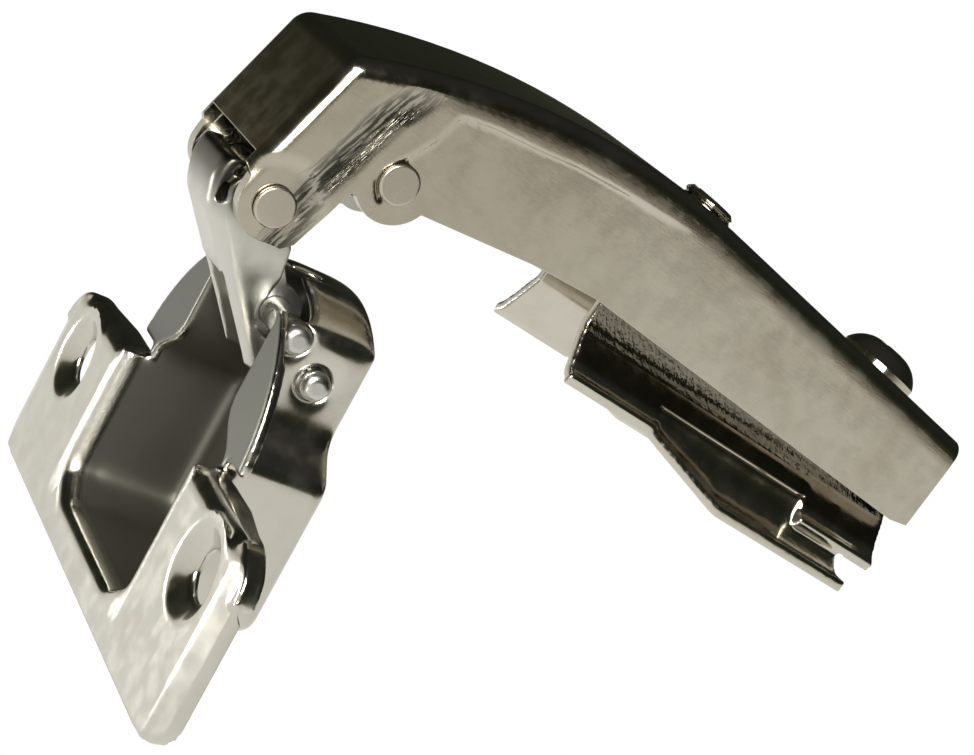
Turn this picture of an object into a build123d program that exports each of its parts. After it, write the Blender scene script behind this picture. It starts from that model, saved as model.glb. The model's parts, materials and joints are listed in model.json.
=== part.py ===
from build123d import *
import os
from math import atan2, cos, degrees, radians, sin

os.makedirs("parts", exist_ok=True)

# Origin: middle of the mounting plate's length, on the plane that its feet stand on.
# +X runs from the cup's end to the tail, +Z away from the panel, Y is the pins' direction.
# Outlines are written as (X, Z) points in the middle plane, in millimetres.

# Mounting plate: one stamped strip, a hollow rail on two splayed feet
plate_length = 45.6
plate_sheet = 1.2
rail_half_width = 6.5
rail_bend = 1.8
rail_top = 19.9
rail_level_end = 5.5
crease_height = 9.2
lip_height = 2.9
lip_reach = 9.6
foot_reach = 13.0
slit_height = 6.3
slit_gap = 0.25
slit_front = -10.8
slit_rear = 11.0
foot_level_from = -1.0
foot_rear = 18.3
neck_slot_width = 4.2
neck_slot_end = -11.3
clamp_slot_width = 6.5
screw_hole_radius = 2.25
screw_sink_radius = 4.3
screw_hole_places = (-7.0, 5.0)

# Arm: one pressed channel, open downwards, bent down at its head
arm_half_width = 8.9
arm_sheet = 1.5
arm_bend = 1.7
arm_tail = 23.85
tail_tilt = 6.5
crown_radius = 86.0
crown_place = (-25.5, 24.85)
head_foot = (-62.3, 5.75)
head_lean = 10.4
head_corner_radius = 2.4

# Pivots of the linkage in the arm, and the ears round them
front_pivot = (-58.39, 2.54)
rear_pivot = (-49.56, 10.31)
front_ear_radius = 3.4
rear_ear_radius = 4.1
rivet_radius = 1.75
rivet_head_radius = 2.0
rivet_head_height = 0.4
running_gap = 0.05

# Cup: drawn from one sheet; v runs towards the arm, depth into the door
cup_lean = 7.64
cup_place = (-52.0, -26.3)
cup_sheet = 1.1
cup_depth = 13.9
cup_radius = 17.5
cup_centre_v = 6.0
cup_floor_bend = 1.5
cup_draft = 0.5
flange_low = -13.6
flange_high = 6.0
flange_half_span = 33.0
flange_crease = 30.0
flange_drop = 0.9
flange_corner = 3.4
flange_arm_corner = 4.6
skirt_height = 4.0
skirt_bend = 2.2
screw_spacing = 48.0
cup_sink_radius = 4.65
cup_hole_radius = 2.4
cup_sink_depth = 1.5
mouth_half_width = 12.4
body_half_width = 13.9
mouth_low = -9.8
mouth_chamfer = (3.0, 4.2)
mouth_bend = 1.3
shoulder_radius = 2.8
wall_corner_radius = 2.6
neck_corner_radius = 0.8
neck_half_width = 9.8
neck_from = 11.0
ledge_depth = 2.8
ledge_from = 7.3
end_rim_depth = 6.0
end_rim_from = 14.6
window_depth = 7.6
window_height = 3.4
window_width = 2.0

# Pivots in the cup, one staple of round wire
upper_cup_pivot = (19.16, 5.13)
lower_cup_pivot = (15.72, 9.06)
staple_radius = 1.5
staple_end = 10.7
staple_bridge = 11.6

# Outer link: one folded channel from the arm's front pivot to the cup's lower one
outer_link_half_width = 5.0
outer_link_sheet = 1.2
outer_link_bend = 1.9
tab_half_width = 4.3
outer_link_low_half_width = 4.2
outer_link_upper_eye = 3.2
outer_link_lower_eye = 2.7

# Inner link: one folded channel from the cup's upper pivot to the rear pin
inner_link_half_width = 2.8
inner_link_sheet = 1.2
inner_eye_radius = 2.7
open_eye_radius = 2.3
open_eye_travel = 1.5
open_eye_wall = 1.2

# Springs on the rear pivot and the bushes that they sit on
spring_wire = 0.5
spring_coil_radius = 2.95
spring_turns = 3.25
spring_gap = 0.12
bush_radius = 2.3
bush_gap = 0.1

# Screws of the arm
adjuster_x = -15.2
adjuster_radius = 3.0
adjuster_rise = 1.3
adjuster_neck_radius = 1.8
adjuster_disc_radius = 3.1
adjuster_disc_height = 1.2
adjuster_seat_gap = 0.65
adjuster_hole_radius = 3.4
fixing_x = 14.8
fixing_radius = 3.0
fixing_head_radius = 4.6
fixing_head_height = 2.8
fixing_head_gap = 0.15
fixing_hole_radius = 3.5
clamp_half_length = 5.5
clamp_side_gap = 0.3
clamp_thickness = 4.0
clamp_gap = 0.1


def slab(outline, half_width):
    """A side outline spread evenly to both sides of the middle plane."""
    return extrude(Plane.XZ * outline, amount=half_width, both=True)


def side(outline, near, far):
    """A side outline spread between two distances along +Y, near below far."""
    return Pos(0, (near + far) / 2, 0) * slab(outline, (far - near) / 2)


def disc(place, radius):
    return Pos(*place) * Circle(radius)


def crown_height(x):
    return crown_place[1] - crown_radius + (crown_radius**2 - (x - crown_place[0]) ** 2) ** 0.5


tail_slope = radians(tail_tilt)
tail_from = (
    crown_place[0] + crown_radius * sin(tail_slope),
    crown_place[1] - crown_radius * (1 - cos(tail_slope)),
)


def arm_top(x):
    """Height of the arm's outer face above the panel."""
    if x < tail_from[0]:
        return crown_height(x)
    return tail_from[1] - (x - tail_from[0]) * sin(tail_slope) / cos(tail_slope)


def rail_height(x):
    """Height of the rail's outer face: level, then parallel to the arm."""
    return rail_top - max(0, x - rail_level_end) * sin(tail_slope) / cos(tail_slope)


def cup_point(v, depth):
    """A point of the cup, given by its distance towards the arm and its depth, as (X, Z)."""
    lean = radians(cup_lean)
    x = cup_place[0] + depth * cos(lean) - v * sin(lean)
    z = cup_place[1] + v * cos(lean) + depth * sin(lean)
    return (x, z)


upper_pivot = cup_point(*upper_cup_pivot)
lower_pivot = cup_point(*lower_cup_pivot)
lean = radians(cup_lean)
cup_frame = Plane(
    origin=(cup_place[0], 0, cup_place[1]),
    x_dir=(-sin(lean), 0, cos(lean)),
    z_dir=(-cos(lean), 0, -sin(lean)),
)


def screw_frame(x, height, tilt):
    """A frame on the arm's face whose Z is the axis of a screw."""
    return Plane(origin=(x, 0, height), x_dir=(cos(tilt), 0, -sin(tilt)), z_dir=(sin(tilt), 0, cos(tilt)))


adjuster_tilt = atan2(adjuster_x - crown_place[0], crown_radius)
if adjuster_x > tail_from[0]:
    adjuster_tilt = tail_slope
adjuster_frame = screw_frame(adjuster_x, arm_top(adjuster_x), adjuster_tilt)
fixing_frame = screw_frame(fixing_x, arm_top(fixing_x), tail_slope)


def channel_outline():
    """The arm's outer face from the side, closed far below and past the tail."""
    deep = -20.0
    past = arm_tail + 10
    run = radians(head_lean)
    low_x = head_foot[0] - (head_foot[1] - deep) * sin(run) / cos(run)
    corner_x = head_foot[0]
    for _ in range(20):
        corner_x = head_foot[0] + (crown_height(corner_x) - head_foot[1]) * sin(run) / cos(run)
    corner = (corner_x, crown_height(corner_x))
    crown_middle = (corner_x + tail_from[0]) / 2
    edges = [
        Line((low_x, deep), corner),
        ThreePointArc(corner, (crown_middle, crown_height(crown_middle)), tail_from),
        Line(tail_from, (past, arm_top(past))),
        Line((past, arm_top(past)), (past, deep)),
        Line((past, deep), (low_x, deep)),
    ]
    outline = make_face(edges)
    head = outline.vertices().sort_by_distance((corner[0], corner[1], 0))[0]
    return fillet(head, head_corner_radius)


def arm_wall():
    """What is left of the arm's side walls, with the ears for the two pins."""
    ear_x, ear_z = front_pivot
    lower_edge = [
        (arm_tail, 30),
        (arm_tail, 9.4),
        (21.5, 9.0),
        (-2.8, 10.3),
        (-24.8, 11.4),
        (-33.0, 10.8),
        (-45.6, 9.0),
        (-49.6, 6.4),
        (-52.5, 7.6),
        (-53.4, 6.8),
        (-53.4, 5.7),
        (-54.6, 0.5),
        (-55.4, -0.5),
        (ear_x + 0.6, ear_z - front_ear_radius),
        (ear_x - front_ear_radius, ear_z),
        (head_foot[0] + 0.5, head_foot[1] - 2),
        (head_foot[0] - 1.5, head_foot[1]),
        (head_foot[0] - 1.5, 30),
    ]
    wall = Polygon(*lower_edge, align=None)
    wall += disc(front_pivot, front_ear_radius)
    wall += disc(rear_pivot, rear_ear_radius)
    return wall


def make_arm():
    outline = channel_outline()
    blank = slab(outline, arm_half_width)
    rim = blank.edges().filter_by(lambda e: abs(abs(e.center().Y) - arm_half_width) < 0.01)
    rim = rim.filter_by(lambda e: e.center().Z > -15 and e.center().X < arm_tail + 8)
    blank = fillet(rim, arm_bend)
    blank -= slab(offset(outline, -arm_sheet, kind=Kind.INTERSECTION), arm_half_width - arm_sheet)
    arm = blank & slab(arm_wall(), arm_half_width + 1)
    below_head = Pos(head_foot[0], head_foot[1] - 10) * Rectangle(3.4, 20)
    arm -= slab(below_head, arm_half_width - arm_bend)
    arm -= slab(disc(front_pivot, rivet_radius) + disc(rear_pivot, rivet_radius), arm_half_width + 1)
    arm -= adjuster_frame * Cylinder(adjuster_hole_radius, 12)
    arm -= fixing_frame * Cylinder(fixing_hole_radius, 12)
    return arm


def make_rivet(place):
    shank = slab(disc(place, rivet_radius), arm_half_width)
    head = side(disc(place, rivet_head_radius), arm_half_width, arm_half_width + rivet_head_height)
    outer = head.edges().group_by(Axis.Y)[-1]
    head = fillet(outer, rivet_head_height * 0.6)
    return shank + head + mirror(head, about=Plane.XZ)


def make_outer_link():
    """Ears on both sides of a web that faces the cup's mouth, with a stop tab above."""
    half = outer_link_half_width
    web_top = (-63.9, 3.4)
    shoulder = (-61.6, -1.4)
    low = (-50.3, -11.6)
    (low_x, low_z), (up_x, up_z), (leg_x, leg_z) = lower_pivot, front_pivot, upper_pivot
    region = Polygon(web_top, shoulder, low, (-44, -16), (-30, -16), (-30, 12), (web_top[0], 12), align=None)
    bend = region.vertices().sort_by_distance((*shoulder, 0))[0]
    region = fillet(bend, 3.0)
    ear = Polygon(
        (-61.9, -1.2),
        (up_x - 2.3, up_z - 2.2),
        (up_x, up_z),
        (up_x + outer_link_upper_eye, up_z + 0.5),
        (-52.3, -0.9),
        (-51.5, -3.5),
        (leg_x - 2.0, leg_z),
        (low_x, low_z),
        (low_x - 1.0, low_z - outer_link_lower_eye + 0.1),
        (low[0], low[1] - 1),
        (-64, -12),
        align=None,
    )
    ear += disc(front_pivot, outer_link_upper_eye)
    ear -= disc(upper_pivot, staple_radius + 0.7) + Pos(leg_x + 3, leg_z + 1.5) * Rectangle(6, 7.4)
    ear += disc(lower_pivot, outer_link_lower_eye)
    tab = Polygon((-66, 3.3), (-62.2, 4.1), (-61.2, -3), (-66, -3), align=None)
    run = Vector(low[0] - shoulder[0], 0, low[1] - shoulder[1])
    slant = Plane(origin=(shoulder[0], 0, shoulder[1]), x_dir=run, z_dir=run.cross(Vector(0, 1, 0)))

    def waist(inset):
        """The link's width along its web: full at the top, narrower at the cup."""
        wide, narrow = half - inset, outer_link_low_half_width - inset
        spread = Polygon(
            (-20, -wide), (1, -wide), (12, -narrow), (40, -narrow), (40, narrow), (12, narrow), (1, wide), (-20, wide),
            align=None,
        )
        return extrude(slant * spread, amount=40, both=True)

    channel = slab(region, half) & waist(0)
    back = channel.edges().filter_by(lambda e: abs(e.center().Y) > outer_link_low_half_width - 0.1)
    back = back.filter_by(lambda e: e.center().X < -50 and e.center().Z + 0.9 * e.center().X < -49.7)
    channel = fillet(back, outer_link_bend)
    channel -= slab(offset(region, -outer_link_sheet, kind=Kind.INTERSECTION), half) & waist(outer_link_sheet)
    link = (channel & slab(ear, half)) + (channel & slab(tab, tab_half_width))
    fork = Polygon((-56.2, -4.5), (-56.2, -14), (-44, -14), (-44, -4.5), align=None)
    link -= slab(fork, half) & waist(outer_link_sheet)
    link -= slab(disc(front_pivot, rivet_radius + running_gap), half + 1)
    link -= slab(disc(lower_pivot, staple_radius + running_gap), half + 1)
    return link


def make_inner_link():
    """A bowed channel from the cup's upper pivot to the rear pin, whose eye is a slot."""
    half = inner_link_half_width
    eye_x, eye_z = upper_pivot
    top_x, top_z = rear_pivot
    bow = [(-53.6, 12.0), (-55.2, 5.0), (-55.6, -0.6), (-53.6, -6.2)]
    ear = Polygon(
        *bow,
        (eye_x, eye_z),
        (eye_x - 0.5, eye_z + inner_eye_radius),
        (-52.7, -0.9),
        (-51.4, 4.6),
        (top_x + 2.0, top_z - 3.4),
        (top_x, top_z),
        align=None,
    )
    eye = Pos(top_x, top_z) * Rot(0, 0, 90) * SlotCenterToCenter(2 * open_eye_travel, 2 * open_eye_radius)
    wall = Pos(top_x, top_z) * Rot(0, 0, 90) * SlotCenterToCenter(
        2 * open_eye_travel, 2 * (open_eye_radius + open_eye_wall)
    )
    ear += wall + disc(upper_pivot, inner_eye_radius)
    region = Polygon(*bow, (-50, -12), (-40, -12), (-40, 14), (-53.6, 14), align=None)
    channel = slab(region, half)
    channel -= slab(offset(region, -inner_link_sheet, kind=Kind.INTERSECTION), half - inner_link_sheet)
    web_span = Pos(-55, 2.0) * Rectangle(10, 11.0)
    link = slab(ear, half) - slab(ear, half - inner_link_sheet)
    link += channel & slab(ear & web_span, half)
    link -= slab(eye, half + 1)
    link -= slab(disc(upper_pivot, staple_radius + running_gap), half + 1)
    return link


def make_staple():
    """One wire bent twice: two legs through the cheeks and a bridge behind the far one."""
    reach = staple_end
    legs = []
    for x, z in (upper_pivot, lower_pivot):
        leg = side(disc((x, z), staple_radius), -reach, staple_bridge)
        tip = leg.edges().group_by(Axis.Y)[0]
        legs.append(fillet(tip, staple_radius * 0.6))
    (x1, z1), (x2, z2) = upper_pivot, lower_pivot
    bridge = Plane((x1, staple_bridge, z1), x_dir=(0, 1, 0), z_dir=(x2 - x1, 0, z2 - z1))
    length = ((x2 - x1) ** 2 + (z2 - z1) ** 2) ** 0.5
    middle = bridge * Cylinder(staple_radius, length, align=(Align.CENTER, Align.CENTER, Align.MIN))
    ends = [Pos(x, staple_bridge, z) * Sphere(staple_radius) for x, z in (upper_pivot, lower_pivot)]
    return legs[0] + legs[1] + middle + ends[0] + ends[1]


def cup_plan(inset):
    """The drawn body from above, v along X, shrunk by an inset."""
    low, chamfer = mouth_low - cup_sheet, mouth_chamfer
    half = [
        (low, body_half_width - chamfer[1]),
        (low + chamfer[0], body_half_width),
        (8.0, body_half_width),
        (neck_from, neck_half_width),
        (cup_centre_v + cup_radius + 2, neck_half_width),
    ]
    outline = Polygon(*half, *[(v, -y) for v, y in reversed(half)], align=None)
    arm_end = Pos(cup_centre_v, 0) * Circle(cup_radius)
    reach = Pos(cup_centre_v - 20, 0) * Rectangle(40, 60)
    outline &= arm_end + reach
    shoulders = outline.vertices().filter_by(lambda p: 7 < p.X < neck_from + 1)
    outline = fillet(shoulders, shoulder_radius)
    outline = fillet(outline.vertices().filter_by(lambda p: p.X < 0), wall_corner_radius)
    outline = fillet(outline.vertices().filter_by(lambda p: p.X > neck_from + 4), neck_corner_radius)
    if inset:
        outline = offset(outline, -inset, kind=Kind.INTERSECTION)
    return outline


def drawn_body(inset):
    """The body as a solid block, its floor bent and its walls drawn in a little."""
    floor = cup_depth - inset
    body = extrude(cup_plan(inset), amount=floor, dir=(0, 0, -1), taper=cup_draft)
    low = body.edges().group_by(Axis.Z)[0]
    return fillet(low, cup_floor_bend - inset)


def wing_block(inset):
    """The flange as a solid block: level, drooping at its ends, rolled down towards the arm."""
    drop, edge = flange_drop + inset, flange_half_span
    crest = [(edge, -drop), (flange_crease, -inset), (-flange_crease, -inset), (-edge, -drop)]
    foot = [(-edge, -skirt_height), (edge, -skirt_height)]
    along = extrude(Plane.YZ * Polygon(*crest, *foot, align=None), amount=60, both=True)
    high = flange_high - inset
    profile = Polygon((-30, -inset), (-30, -skirt_height), (high, -skirt_height), (high, -inset), align=None)
    roll = profile.vertices().sort_by_distance((high, -inset, 0))[0]
    profile = fillet(roll, skirt_bend - inset)
    return along & extrude(Plane.XZ * profile, amount=40, both=True)


def flat_flange(inset):
    """The flange as a solid block before its edge is rolled down."""
    drop, edge = flange_drop + inset, flange_half_span
    crest = [(edge, -drop), (flange_crease, -inset), (-flange_crease, -inset), (-edge, -drop)]
    foot = [(-edge, -skirt_height), (edge, -skirt_height)]
    return extrude(Plane.YZ * Polygon(*crest, *foot, align=None), amount=60, both=True)


def screw_dish(y, depth, wall):
    """A cone round a screw hole; wall thickens it outwards."""
    base = Pos(0, y, -depth)
    return base * Cone(
        cup_hole_radius + wall, cup_sink_radius + wall, depth, align=(Align.CENTER, Align.CENTER, Align.MIN)
    )


def make_cup():
    body = drawn_body(0) - drawn_body(cup_sheet)
    arm_side = Pos(flange_high + 20, 0, -ledge_depth / 2) * Box(40, 80, ledge_depth)
    body -= arm_side
    inner_neck = 2 * (neck_half_width - cup_sheet)
    body -= Pos(cup_centre_v + end_rim_from + 10, 0, -end_rim_depth / 2) * Box(20, inner_neck, end_rim_depth)
    window = Pos(cup_centre_v + cup_radius, 0, -window_depth) * Box(8, window_width, window_height)
    body -= window

    width = flange_high - flange_low
    plan = Pos((flange_high + flange_low) / 2, 0) * Rectangle(width, 2 * flange_half_span)
    plan = fillet(plan.vertices().filter_by(lambda p: p.X < 0), flange_corner)
    plan = fillet(plan.vertices().filter_by(lambda p: p.X > flange_high - 0.1), flange_arm_corner)
    reach = extrude(plan, amount=10, both=True)
    level = flat_flange(0) - flat_flange(cup_sheet)
    cup = (level & reach) + body
    pocket = cup_plan(cup_sheet) & Pos(cup_centre_v - 20, 0) * Rectangle(40, 60)
    cup -= extrude(pocket, amount=cup_floor_bend + 1, dir=(0, 0, -1))
    mouth = cup.edges().filter_by(lambda e: abs(e.center().Z) < 0.01 and abs(e.center().Y) < body_half_width)
    mouth = mouth.filter_by(lambda e: flange_low + 1 < e.center().X < flange_high - 0.5)
    cup = fillet(mouth, mouth_bend)
    rolled = (wing_block(0) - wing_block(cup_sheet)) & reach
    roll_zone = Pos(flange_high, 0, 0) * Box(2 * skirt_bend, 80, 20)
    rolled &= roll_zone
    middle = Box(60, 2 * (body_half_width - cup_sheet + mouth_bend), 20)
    cup += rolled - middle
    cup -= (Pos(flange_high, 0, -skirt_bend / 2) * Box(2 * skirt_bend, 80, skirt_bend)) - wing_block(0) - middle
    for y in (-screw_spacing / 2, screw_spacing / 2):
        cup += screw_dish(y, cup_sink_depth + cup_sheet * 0.6, cup_sheet)
        cup -= screw_dish(y, cup_sink_depth, 0)
        cup -= Pos(0, y, 0) * Cylinder(cup_hole_radius, 10)
    ledge = Pos(cup_centre_v, 0) * Circle(cup_radius)
    ledge &= Pos(ledge_from + 20, 0) * Rectangle(40, 60)
    ledge -= cup_plan(cup_sheet)
    ledge -= Pos(cup_centre_v + 20, 0) * Rectangle(20, inner_neck)
    cup += Pos(0, 0, -ledge_depth - cup_sheet) * extrude(ledge, amount=cup_sheet)
    for v, depth in (upper_cup_pivot, lower_cup_pivot):
        cup -= Pos(v, 0, -depth) * Rot(90, 0, 0) * Cylinder(staple_radius + 0.02, 60)
    return cup_frame * cup


def make_plate():
    front = -plate_length / 2
    rear = plate_length / 2
    wall = rail_half_width - plate_sheet / 2
    top = Polygon(
        (front, crease_height),
        (front, rail_top),
        (rail_level_end, rail_top),
        (rear, rail_height(rear)),
        (rear, crease_height),
        align=None,
    )
    hollow = Polygon(
        (front - 1, crease_height - 1),
        (front - 1, rail_top - plate_sheet),
        (rail_level_end, rail_top - plate_sheet),
        (rear + 1, rail_height(rear + 1) - plate_sheet),
        (rear + 1, crease_height - 1),
        align=None,
    )
    rail = slab(top, rail_half_width)
    bends = rail.edges().filter_by(lambda e: abs(abs(e.center().Y) - rail_half_width) < 0.01)
    bends = bends.filter_by(lambda e: e.center().Z > 15 and abs(e.tangent_at(0.5).X) > 0.9)
    rail = fillet(bends, rail_bend)
    rail -= slab(hollow, rail_half_width - plate_sheet)

    flare_line = FilletPolyline(
        (wall, crease_height),
        (wall, crease_height - 0.5),
        (wall + 2.5, lip_height + 1.3),
        (lip_reach, lip_height + plate_sheet / 2),
        radius=1.0,
    )
    flare = Plane.YZ.offset(front) * trace(flare_line, plate_sheet)
    flare = extrude(flare, amount=plate_length)
    flare -= Pos((slit_front + slit_rear) / 2, 10, slit_height / 2) * Box(slit_rear - slit_front, 20, slit_height)

    def foot_section(x, belly, knee, reach):
        start = (wall + 1.5, slit_height - slit_gap - plate_sheet / 2)
        line = ThreePointArc(start, belly, knee) + Line(knee, (reach, knee[1]))
        return Plane.YZ.offset(x) * trace(line, plate_sheet)

    shallow = foot_section(slit_front - 0.6, (8.4, 4.2), (9.1, lip_height + plate_sheet / 2), lip_reach)
    deep = foot_section(foot_level_from, (8.6, 2.3), (11.2, plate_sheet / 2), foot_reach)
    foot = loft([shallow.face(), deep.face()])
    foot += extrude(deep, amount=foot_rear - foot_level_from)
    cut = Polygon((slit_rear, slit_height + 0.3), (foot_rear + 1, 3.0), (foot_rear + 1, 9), (slit_rear, 9), align=None)
    foot -= slab(cut, 30)
    half = flare + foot
    plate = rail + half + mirror(half, about=Plane.XZ)

    slot = Pos((front - 5 + neck_slot_end) / 2, 0) * SlotOverall(neck_slot_end - front + 5, neck_slot_width)
    plate -= Pos(0, 0, rail_top) * extrude(slot, amount=4, both=True)
    seat = fixing_frame * Pos(0, 0, 0)
    slot_front = fixing_x - 2.0 - clamp_slot_width / 2 - 0.4
    slot = Pos((slot_front + rear + 5) / 2, 0) * SlotOverall(rear + 5 - slot_front, clamp_slot_width)
    plate -= Pos(0, 0, rail_top) * extrude(slot, amount=5, both=True)
    for x in screw_hole_places:
        plate -= Pos(x, 0, rail_top - plate_sheet / 2) * Cylinder(screw_hole_radius, 4)
        plate -= Pos(x, 0, rail_top - 1.0) * Cone(
            screw_hole_radius, screw_sink_radius - 1.0, 1.0, align=(Align.CENTER, Align.CENTER, Align.MIN)
        )
    return plate


def make_adjusting_screw():
    """A threaded body with a slot, a neck in the rail's slot and a disc below it."""
    height = arm_top(adjuster_x)
    seat = height - rail_top
    low = -seat + adjuster_seat_gap
    web_low = -seat - plate_sheet - adjuster_seat_gap
    turned = [
        (0, adjuster_rise),
        (adjuster_radius - 0.5, adjuster_rise),
        (adjuster_radius, adjuster_rise - 0.5),
        (adjuster_radius, low + 0.4),
        (adjuster_radius - 0.4, low),
        (adjuster_neck_radius, low),
        (adjuster_neck_radius, web_low),
        (adjuster_disc_radius, web_low),
        (adjuster_disc_radius, web_low - adjuster_disc_height),
        (0, web_low - adjuster_disc_height),
    ]
    screw = revolve(Plane.XZ * Polygon(*turned, align=None), Axis.Z)
    screw -= Pos(0, 0, adjuster_rise) * Box(2 * adjuster_radius + 1, 1.1, 2.6)
    return adjuster_frame * screw


def make_fixing_screw():
    """A domed pan head with a cross recess on a threaded shank."""
    base = fixing_head_gap
    crown = base + fixing_head_height
    low = -(arm_sheet + plate_sheet + 0.6 + clamp_thickness)
    edges = [
        Line((0, crown), (1.6, crown)),
        ThreePointArc((1.6, crown), (fixing_head_radius - 0.9, base + 1.9), (fixing_head_radius, base + 0.7)),
        Polyline((fixing_head_radius, base + 0.7), (fixing_head_radius, base), (fixing_radius, base)),
        Polyline((fixing_radius, base), (fixing_radius, low + 0.6), (fixing_radius - 0.6, low), (0, low), (0, crown)),
    ]
    screw = revolve(Plane.XZ * make_face(edges), Axis.Z)
    for turn in (0, 90):
        wing = Pos(0, 0, crown - 1.0) * Rot(0, 0, turn + 20) * Box(4.6, 0.9, 2.1)
        screw -= wing
    return fixing_frame * screw


def make_clamp_nut():
    """The threaded block that slides inside the rail under its web."""
    top = -(arm_top(fixing_x) - rail_height(fixing_x)) * cos(tail_slope) - plate_sheet - clamp_gap
    half_width = rail_half_width - plate_sheet - clamp_side_gap
    block = Pos(0, 0, top - clamp_thickness / 2) * Box(2 * clamp_half_length, 2 * half_width, clamp_thickness)
    block = chamfer(block.edges().filter_by(Axis.Z), 1.0)
    block -= Cylinder(fixing_radius + running_gap, 60)
    return fixing_frame * block


def make_spring(sign):
    """A coil round the bush, with one leg up to the arm's face and one down to the link's web."""
    height = arm_half_width - arm_sheet - inner_link_half_width - 2 * (spring_wire + spring_gap)
    coil = Helix(pitch=height / spring_turns, height=height, radius=spring_coil_radius)
    section = Plane(coil @ 0, z_dir=coil % 0) * Circle(spring_wire)
    wound = sweep(section, path=coil, is_frenet=True)
    start = inner_link_half_width + spring_wire + spring_gap
    return Pos(rear_pivot[0], sign * start, rear_pivot[1]) * Rot(-90 * sign, 0, 0) * wound


def make_bush(sign, place, inner, outer):
    """A sleeve on a pin between a link's ear and the arm's wall."""
    tube = disc(place, bush_radius) - disc(place, rivet_radius + running_gap)
    near, far = sorted((sign * inner, sign * outer))
    return side(tube, near + bush_gap, far - bush_gap)


def export(name, shape):
    export_step(shape, f"parts/{name}.step")


export("mounting_plate", make_plate())
export("arm", make_arm())
export("front_pin", make_rivet(front_pivot))
export("rear_pin", make_rivet(rear_pivot))
export("outer_link", make_outer_link())
export("inner_link", make_inner_link())
export("cup_pin", make_staple())
export("cup", make_cup())
export("adjusting_screw", make_adjusting_screw())
export("fixing_screw", make_fixing_screw())
export("clamp_nut", make_clamp_nut())
arm_inside = arm_half_width - arm_sheet
for word, sign in (("near", -1), ("far", 1)):
    export(f"{word}_spring", make_spring(sign))
    export(f"{word}_spring_bush", make_bush(sign, rear_pivot, inner_link_half_width, arm_inside))
    export(f"{word}_link_bush", make_bush(sign, front_pivot, outer_link_half_width, arm_inside))
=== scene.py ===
import json
import math
from collections import namedtuple

import bmesh
import bpy
import numpy as np
from mathutils import Matrix, Vector


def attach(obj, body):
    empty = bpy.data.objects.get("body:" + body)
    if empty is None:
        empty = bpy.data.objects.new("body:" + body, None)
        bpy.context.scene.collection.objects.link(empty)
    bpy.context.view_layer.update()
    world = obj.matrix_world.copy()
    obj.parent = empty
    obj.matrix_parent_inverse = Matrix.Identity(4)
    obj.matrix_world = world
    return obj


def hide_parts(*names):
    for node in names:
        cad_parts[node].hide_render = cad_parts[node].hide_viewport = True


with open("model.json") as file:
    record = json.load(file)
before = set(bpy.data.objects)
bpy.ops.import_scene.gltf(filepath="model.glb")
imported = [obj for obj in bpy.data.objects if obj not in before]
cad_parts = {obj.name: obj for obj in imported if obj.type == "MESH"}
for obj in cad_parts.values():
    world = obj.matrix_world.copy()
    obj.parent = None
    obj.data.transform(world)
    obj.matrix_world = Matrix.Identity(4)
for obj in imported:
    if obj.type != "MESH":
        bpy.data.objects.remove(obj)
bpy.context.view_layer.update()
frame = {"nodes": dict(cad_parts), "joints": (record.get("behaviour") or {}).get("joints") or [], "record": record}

MM = 0.001
WHITE = (1.0, 1.0, 1.0, 1.0)

# Camera: the photograph's place and aim, in the part's own frame
PHOTO_WIDTH = 974
FOCAL_PIXELS = 2300
SENSOR_WIDTH = 36.0
CLIP_START = 0.01
CAMERA_PLACE = (-0.14473, -0.19465, 0.02697)
CAMERA_RIGHT = (0.727937, -0.363675, 0.581247)
CAMERA_DOWN = (0.445001, -0.394337, -0.804035)
CAMERA_AHEAD = (0.521615, 0.843942, -0.125217)

# Studio, in metres: a floor with a painted pool of light, palest below the part, and a dark room above the
# horizon.
# Each tone has its place on a ramp from 0 to 1: outwards on the floor, upwards in the room.
FLOOR_HEIGHT = -0.16
FLOOR_REACH = 40.0
FLOOR_COLOUR = (0.85, 0.85, 0.84, 1.0)
FLOOR_ROUGHNESS = 0.9
FLOOR_LIGHT_POOL_REACH = 10.0
FLOOR_PAINTED_LIGHT_POOL = [
    (0.0, (0.9, 0.89, 0.86)),
    (0.06, (0.8, 0.79, 0.75)),
    (0.2, (0.68, 0.665, 0.61)),
    (1.0, (0.62, 0.6, 0.54)),
]
ROOM_TONES = [
    (0.0, (0.7, 0.69, 0.66)),
    (0.487, (0.6, 0.58, 0.52)),
    (0.5, (0.3, 0.25, 0.18)),
    (0.51, (0.12, 0.09, 0.06)),
    (0.525, (0.04, 0.041, 0.026)),
    (0.6, (0.022, 0.024, 0.016)),
    (0.75, (0.014, 0.016, 0.012)),
    (1.0, (0.03, 0.03, 0.028)),
]

# Meshes: tolerances in metres, angles, and how a skin is smoothed
WELD = 1e-6
CUT_TOLERANCE = 1e-7
FLAT_ANGLE = math.radians(0.4)
SHARP_ANGLE = math.radians(32.0)
FLAT_WEIGHT = 80
RELAX_SHARE = 0.5
SKIN_ROUNDS = 4
SKIN_SWELL = 0.52

# Arm, in millimetres, with x along it and z upwards: its sheet and where its sides are cut finer
ARM_HALF_WIDTH = 8.9
ARM_SHEET = 1.5
SIDE_TOLERANCE = 0.01
CUT_SPACING = 0.28
PRESSED_ZONE = (-62.6, -18.0)
PRESSED_HEIGHTS = (3.0, 23.0)

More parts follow.
